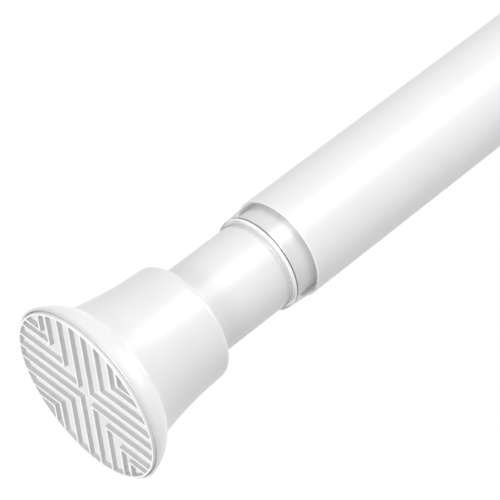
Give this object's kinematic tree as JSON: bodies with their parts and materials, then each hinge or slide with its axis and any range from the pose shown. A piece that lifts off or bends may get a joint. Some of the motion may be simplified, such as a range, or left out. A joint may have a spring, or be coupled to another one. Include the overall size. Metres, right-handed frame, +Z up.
{
  "type": "spring tension rod",
  "caption": "Adjustable spring tension rod that wedges between two walls, with telescoping white tubes, bell-shaped feet with treaded rubber pads, a clear mouth collar and an inner twist lock.",
  "frame": {"origin": "centre of the wall face of the inner tube's pad, on the rod's axis", "axes": "+X runs along the rod's axis from the inner tube's pad to the outer tube's pad, +Z is up as the rod is wedged between two walls, +Y completes the right-handed set"},
  "size_m": [0.417, 0.038, 0.0378],
  "materials": {
    "coated_steel": "satin white powder coat on thin steel tube",
    "white_moulding": "smooth white moulded plastic with a soft gloss",
    "tread_rubber": "matt white rubber",
    "clear_plastic": "clear moulded plastic",
    "plated_steel": "bright zinc plate",
    "spring_steel": "oiled drawn spring wire",
    "dark_nylon": "black moulded nylon",
    "pale_nylon": "natural nylon"
  },
  "bodies": {
    "inner_side": {"inner_pad": "tread_rubber", "inner_foot": "white_moulding", "inner_foot_screw": "plated_steel", "inner_tube_plug": "dark_nylon", "inner_tube": "coated_steel", "spring_anchor": "dark_nylon", "compression_spring": "spring_steel", "guide_bush": "pale_nylon"},
    "spindle_side": {"spindle": "plated_steel", "spring_seat": "dark_nylon", "thrust_washer": "spring_steel", "end_screw": "plated_steel"},
    "lock": {"expander_sleeve": "pale_nylon"},
    "wedge": {"wedge_nut": "dark_nylon"},
    "outer_side": {"clear_collar": "clear_plastic", "outer_tube": "coated_steel", "outer_tube_plug": "dark_nylon", "outer_foot_screw": "plated_steel", "outer_foot": "white_moulding", "outer_pad": "tread_rubber"}
  },
  "joints": [
    {"name": "spring_travel", "type": "slide", "parent": "inner_side", "child": "spindle_side", "axis": [-1, 0, 0], "range_m": [0, 0.018], "stiffness_N_per_m": 1700, "springref_m": -0.03, "deforming": ["compression_spring"]},
    {"name": "twist_lock", "type": "hinge", "parent": "spindle_side", "child": "lock", "pos_m": [0.37, 0, 0], "axis": [1, 0, 0], "range_deg": [0, 720]},
    {"name": "wedge_feed", "type": "slide", "parent": "lock", "child": "wedge", "axis": [1, 0, 0], "range_m": [0, 0.004]},
    {"name": "length_adjust", "type": "slide", "parent": "lock", "child": "outer_side", "axis": [1, 0, 0], "range_m": [0, 0.183]}
  ],
  "couplings": [
    {"joint": "wedge_feed", "follows": "twist_lock", "m_per_rad": 0.0003183}
  ]
}
